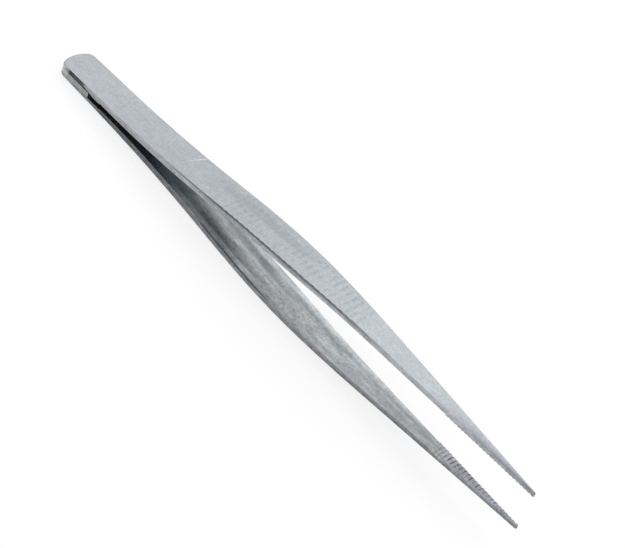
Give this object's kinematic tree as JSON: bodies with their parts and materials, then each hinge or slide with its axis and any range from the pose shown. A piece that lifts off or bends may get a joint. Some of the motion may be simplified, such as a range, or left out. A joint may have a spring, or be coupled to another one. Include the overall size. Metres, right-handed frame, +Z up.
{
  "type": "thumb forceps",
  "caption": "Fine-pointed steel thumb forceps: two bowed leaves welded at the heel, with a grooved outer grip and toothed points that squeeze together.",
  "frame": {"origin": "middle of the forceps' length and width, on the surface that they lie on", "axes": "+X from the heel to the points, +Y across the leaves, +Z up; the lower leaf lies on the surface, on its bow and on the heel's outer edge"},
  "size_m": [0.127, 0.0082, 0.0153],
  "materials": {
    "steel_leaf": "satin, stained on the inside",
    "steel_spacer": "ground flush",
    "steel_weld": "ground flush"
  },
  "bodies": {
    "root": {"upper_leaf": "steel_leaf", "lower_leaf": "steel_leaf", "heel_spacer": "steel_spacer", "heel_weld": "steel_weld"}
  },
  "joints": []
}
